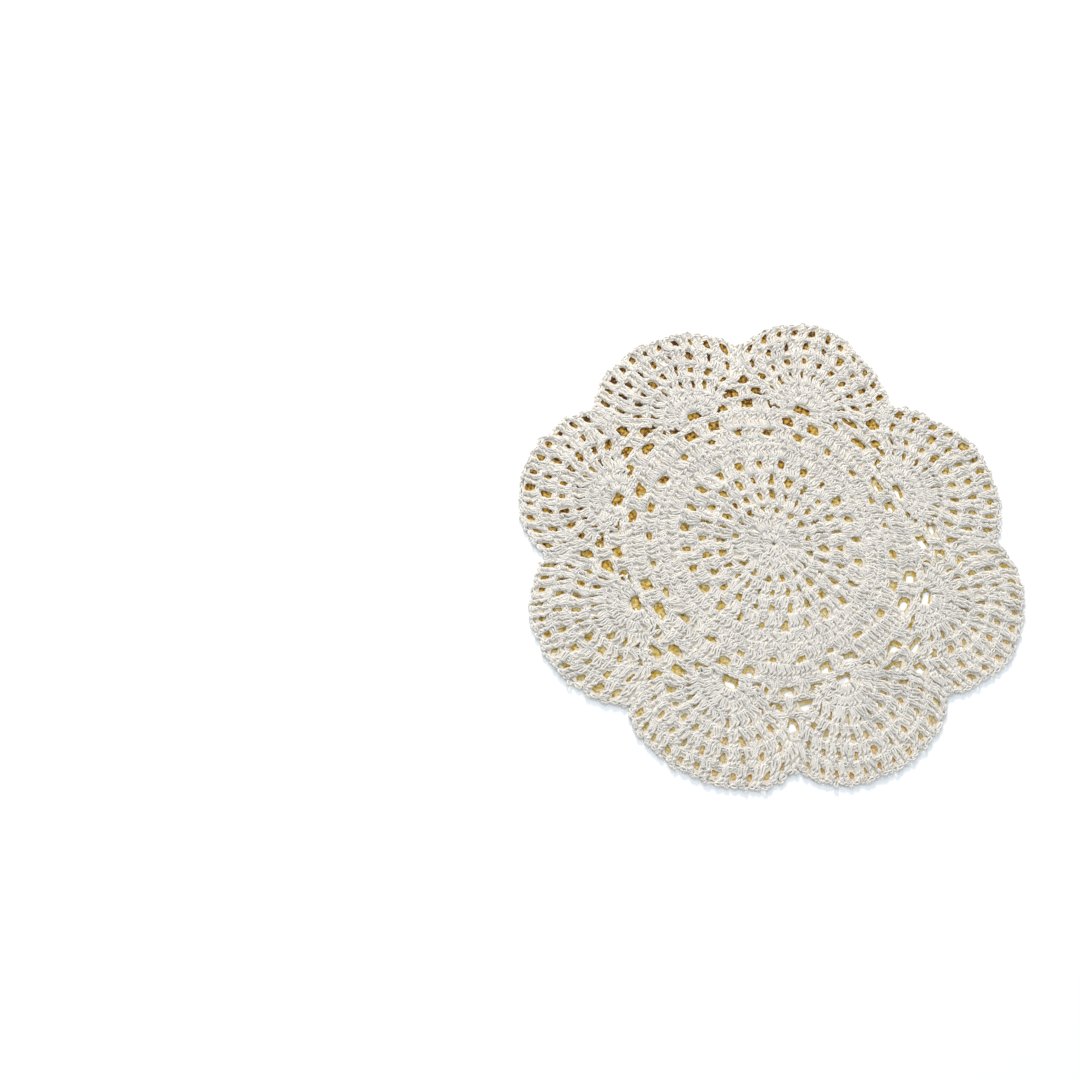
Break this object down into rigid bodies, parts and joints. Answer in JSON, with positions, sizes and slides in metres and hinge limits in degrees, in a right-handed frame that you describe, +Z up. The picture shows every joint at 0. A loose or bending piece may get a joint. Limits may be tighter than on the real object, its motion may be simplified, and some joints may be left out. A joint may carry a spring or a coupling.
{
  "type": "crocheted lace doily",
  "caption": "Round crocheted cotton lace doily with a scalloped rim of fan petals around an openwork mesh centre, lying flat.",
  "frame": {"origin": "under the middle of the doily's outline, on the surface it lies on", "axes": "+Z up out of the cloth, +X through the middle of one petal, +Y through the petal a quarter turn on"},
  "size_m": [0.2862, 0.279, 0.003],
  "materials": {
    "crochet_cotton": "matt undyed cream cotton crochet thread, softly twisted, slightly fuzzy"
  },
  "bodies": {
    "root": {"doily": "crochet_cotton"}
  },
  "joints": []
}
